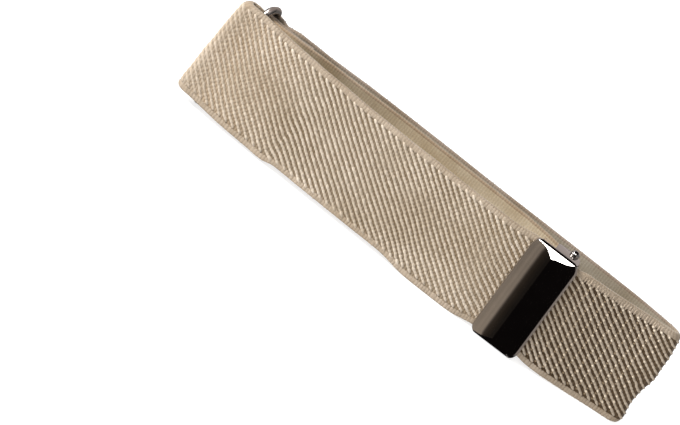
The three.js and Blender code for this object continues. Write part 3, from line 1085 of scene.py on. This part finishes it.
def extruded(outline, bottom, top, ease):
    """A flat piece of sheet with eased edges: its outline is drawn in a little at both faces."""
    outline = np.array(outline)
    nxt, prv = np.roll(outline, -1, axis=0), np.roll(outline, 1, axis=0)
    direction = nxt - prv
    normal = np.stack([direction[:, 1], -direction[:, 0]], axis=1)
    normal /= np.linalg.norm(normal, axis=1)[:, None]
    part = ease * 0.3
    levels = [(bottom, ease), (bottom + part, part), (bottom + ease, 0.0)]
    levels += [(top - ease, 0.0), (top - part, part), (top, ease)]
    rings = []
    for z, pull in levels:
        flat = outline - normal * pull
        rings.append(np.column_stack([flat, np.full(len(flat), z)]))
    return lofted(rings)


def ear_outline():
    """The ear seen from above, from the plate's left border, with points that are close together."""
    pivot = (CROSS_BAR[0] - PLATE_LEFT, CROSS_BAR[1])
    tip = EAR_DEPTH - CROSS_BAR[1]
    outline = [(EAR_LEFT, EAR_ROOT), (EAR_RIGHT, EAR_ROOT), (EAR_RIGHT, EAR_SHOULDER)]
    for a in np.radians(np.linspace(20, 100, 14)):
        outline.append((pivot[0] + tip * math.cos(a), pivot[1] + tip * math.sin(a)))
    rear = pivot[1] + tip
    outline += [(EAR_LEFT + EAR_NOTCH, rear - EAR_NOTCH), (EAR_LEFT, rear - 2 * EAR_NOTCH)]
    dense = []
    for (x0, y0), (x1, y1) in zip(outline, outline[1:] + outline[:1]):
        steps = max(1, round(math.hypot(x1 - x0, y1 - y0) / EAR_STEP))
        dense += [(x0 + (x1 - x0) * k / steps, y0 + (y1 - y0) * k / steps) for k in range(steps)]
    return dense


def joined(parts):
    """Points and faces of several shells as one list."""
    points, faces, start = [], [], 0
    for part_points, part_faces in parts:
        points.append(np.asarray(part_points))
        faces += [tuple(i + start for i in face) for face in part_faces]
        start += len(part_points)
    return np.concatenate(points), faces


plate_points, plate_faces = slider_plate()
plate_faces = outward(plate_points, plate_faces)
ears = [
    extruded(ear_outline(), bottom, bottom + PLATE_SHEET, EAR_EASE)
    for bottom in (EAR_INSET, PLATE_HEIGHT - PLATE_SHEET - EAR_INSET)
]
points, faces = joined([(plate_points, plate_faces)] + ears)
plate = mesh_object("slider_front_plate", place_slider(points), faces, [SLIDER_NICKEL])


def slider_bar():
    """The cross bar and the round head that stands on the upper ear."""
    head_base = PLATE_HEIGHT - EAR_INSET + HEAD_GAP
    profile = [
        (BAR_RADIUS - BAR_CHAMFER, EAR_INSET),
        (BAR_RADIUS, EAR_INSET + BAR_CHAMFER),
        (BAR_RADIUS, head_base - HEAD_NECK),
    ]
    for a in np.radians(np.linspace(-14, 84, 16)):
        profile.append((RIVET_RADIUS * math.cos(a), head_base + RIVET_RADIUS * math.sin(a)))
    angles = np.linspace(0, 2 * math.pi, BAR_SIDES, endpoint=False)
    rings = []
    for radius, z in profile:
        rings.append(np.column_stack([
            CROSS_BAR[0] - PLATE_LEFT + radius * np.cos(angles),
            CROSS_BAR[1] + radius * np.sin(angles),
            np.full(len(angles), z),
        ]))
    bar_points, bar_faces = lofted(rings)
    return mesh_object("slider_cross_bar", place_slider(bar_points), bar_faces, [SLIDER_NICKEL])


bar = slider_bar()
for piece, node in ((plate, "slider_plate"), (bar, "slider_bar")):
    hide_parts(node)
    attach(piece, "root")


def crisp(piece, degrees):
    """Smooth shading that keeps the piece's sharp borders sharp."""
    mesh = piece.data
    mesh.shade_smooth()
    mesh.set_sharp_from_angle(angle=math.radians(degrees))


crisp(plate, degrees=24)
crisp(bar, degrees=50)

# Camera: a little above the strap, rolled so that the strap's length runs down to the right
SENSOR_WIDTH = 36
PICTURE_WIDTH = 145.3
CAMERA_DISTANCE = 2500.0
ELEVATION = math.radians(20)
ROLL = math.radians(38.3)
LOOK_AT = (-15.0, 0.0, 0.4)

camera_data = bpy.data.cameras.new("camera")
camera = linked("camera", camera_data)
bpy.context.scene.camera = camera
camera_data.sensor_width = SENSOR_WIDTH
camera_data.lens = SENSOR_WIDTH * CAMERA_DISTANCE / PICTURE_WIDTH
camera_data.clip_end = 20
back = Vector((0, -math.cos(ELEVATION), math.sin(ELEVATION)))
level_up = Vector((0, math.sin(ELEVATION), math.cos(ELEVATION)))
level_right = Vector((1, 0, 0))
right = level_right * math.cos(ROLL) + level_up * math.sin(ROLL)
above = level_up * math.cos(ROLL) - level_right * math.sin(ROLL)
place = Vector(LOOK_AT) * MM + back * CAMERA_DISTANCE * MM
matrix = Matrix((right, above, back)).transposed().to_4x4()
matrix.translation = place
camera.matrix_world = matrix

# Floor, light and cards that paint reflections

def glowing(name, across=None, colour=None):
    """A surface that gives off its own light: one colour, or colours that change with x in metres."""
    shader = Shader(name)
    if across:
        start, end = across[0][0], across[-1][0]
        x = shader.add("ShaderNodeSeparateXYZ", vector=shader.object_place()).outputs["X"]
        share = shader.add("ShaderNodeMapRange", value=x, from_min=start, from_max=end)
        stops = [((place - start) / (end - start), tone) for place, tone in across]
        colour = shader.ramp(share.outputs[0], stops)
    shader.look({
        "Base Color": (0, 0, 0, 1),
        "Specular IOR Level": 0.0,
        "Emission Color": colour,
        "Emission Strength": 1.0,
    })
    return shader.material


FLOOR = Shader("floor_white")
FLOOR.look({
    "Base Color": srgb(170, 170, 170),
    "Roughness": 0.9,
    "Emission Color": (1, 1, 1, 1),
    "Emission Strength": 0.8,
})
# Half the floor's side and its height, in metres
FLOOR_HALF = 4
FLOOR_HEIGHT = -0.00002
FLOOR_CORNERS = [(-1, -1), (1, -1), (1, 1), (-1, 1)]
floor = mesh_object(
    "floor",
    [(x * FLOOR_HALF, y * FLOOR_HALF, FLOOR_HEIGHT) for x, y in FLOOR_CORNERS],
    [(0, 1, 2, 3)],
    [FLOOR.material],
)
floor.visible_glossy = False


def cards(name, quads, finishes):
    """Glowing cards that only the polished metal mirrors: they paint its reflections and highlights."""
    points = np.array([corner for quad in quads for corner in quad], float) * MM
    faces = [tuple(range(4 * i, 4 * i + 4)) for i in range(len(quads))]
    thing = mesh_object(name, points, faces, finishes, range(len(quads)), smooth=False)
    thing.visible_camera = False
    thing.visible_diffuse = False
    thing.visible_shadow = False
    thing.visible_transmission = False


# Painted reflections: a dark brown gradient that paints the plate's left facet, black, grey and lilac,
# and white for painted highlights
PAINTED_REFLECTION_GRADIENT = glowing("card_left", across=[
    (-0.06, (0.014, 0.012, 0.0105, 1)),
    (0.0118, (0.016, 0.0135, 0.0115, 1)),
    (0.0145, (0.024, 0.019, 0.015, 1)),
    (0.0158, (0.034, 0.026, 0.019, 1)),
    (0.0175, (0.055, 0.044, 0.035, 1)),
    (0.019, (0.115, 0.096, 0.08, 1)),
    (0.0201, (0.2, 0.17, 0.143, 1)),
    (0.021, (0.35, 0.3, 0.245, 1)),
    (0.0219, (0.46, 0.39, 0.315, 1)),
    (0.0225, (0.5, 0.42, 0.34, 1)),
])
PAINTED_REFLECTION_BLACK = glowing("card_black", colour=(0.005, 0.004, 0.004, 1))
PAINTED_REFLECTION_GREY = glowing("card_grey", colour=(0.36, 0.32, 0.29, 1))
PAINTED_REFLECTION_LILAC = glowing("card_lilac", colour=(0.56, 0.5, 0.48, 1))
PAINTED_HIGHLIGHT_WHITE = glowing("card_white", colour=(2.5, 2.5, 2.5, 1))
CARD_DISTANCE, CARD_FOOT, CARD_TOP = -20.0, -9.0, 34.0


def standing(x0, x1):
    """An upright card in front of the slider."""
    y = CARD_DISTANCE
    return [(x0, y, CARD_FOOT), (x1, y, CARD_FOOT), (x1, y, CARD_TOP), (x0, y, CARD_TOP)]


def level(x0, x1, y0, y1, z):
    """A card that lies level."""
    return [(x0, y0, z), (x1, y0, z), (x1, y1, z), (x0, y1, z)]


# Painted reflections on the slider, with a small white patch that paints the highlight at the plate's
# lower right corner
cards(
    "slider_reflection_cards",
    [
        standing(-60, 22.5), standing(22.5, 46), standing(46, 90),
        level(15, 46, CARD_DISTANCE, 12, CARD_FOOT), level(32.5, 33.0, -8, -5, CARD_FOOT + 0.1),
        level(0, 60, -25, 36, 60), level(-95, -25, -60, 60, 75),
    ],
    [PAINTED_REFLECTION_GRADIENT, PAINTED_REFLECTION_BLACK, PAINTED_REFLECTION_GREY, PAINTED_REFLECTION_BLACK, PAINTED_HIGHLIGHT_WHITE, PAINTED_REFLECTION_BLACK, PAINTED_REFLECTION_LILAC],
)
# Painted reflections far off: black in front, lilac behind, and a white patch high on the left that
# paints highlights on the ball and the ring
FRONT_QUAD = [(-1500, -1200, 0), (1500, -1200, 0), (1500, -1200, 560), (-1500, -1200, 560)]
REAR_QUAD = [(900, 1000, 0), (-900, 1000, 0), (-900, 1000, 800), (900, 1000, 800)]
SIDE_QUAD = [(-700, 500, 500), (-700, -100, 500), (-500, -100, 800), (-500, 500, 800)]
cards("front_reflection_card", [FRONT_QUAD], [PAINTED_REFLECTION_BLACK])
cards("rear_reflection_card", [REAR_QUAD], [PAINTED_REFLECTION_LILAC])
cards("side_highlight_card", [SIDE_QUAD], [PAINTED_HIGHLIGHT_WHITE])


# Distance of the lights in metres
LIGHT_DISTANCE = 1.0


def softbox(name, azimuth, elevation, size, power, mirrored=True):
    """A square light that looks at the strap. Azimuth 0 is in front of it and 90 to its right."""
    data = bpy.data.lights.new(name, "AREA")
    data.shape = "SQUARE"
    data.size = size
    data.energy = power
    lamp = linked(name, data)
    lamp.visible_glossy = mirrored
    a, e = math.radians(azimuth), math.radians(elevation)
    towards = Vector((math.sin(a) * math.cos(e), -math.cos(a) * math.cos(e), math.sin(e)))
    lamp.location = towards * LIGHT_DISTANCE
    lamp.rotation_euler = lamp.location.to_track_quat("Z", "Y").to_euler()


softbox("key_light", azimuth=-66, elevation=32, size=0.5, power=17)
softbox("front_light", azimuth=0, elevation=50, size=0.3, power=3.0)
softbox("back_light", azimuth=160, elevation=30, size=0.6, power=5.0, mirrored=False)

world = bpy.data.worlds.new("studio")
bpy.context.scene.world = world
world.use_nodes = True
sky = world.node_tree.nodes["Background"].inputs
sky["Color"].default_value = (1, 1, 1, 1)
sky["Strength"].default_value = 0.22
bpy.context.scene.view_settings.view_transform = "Standard"
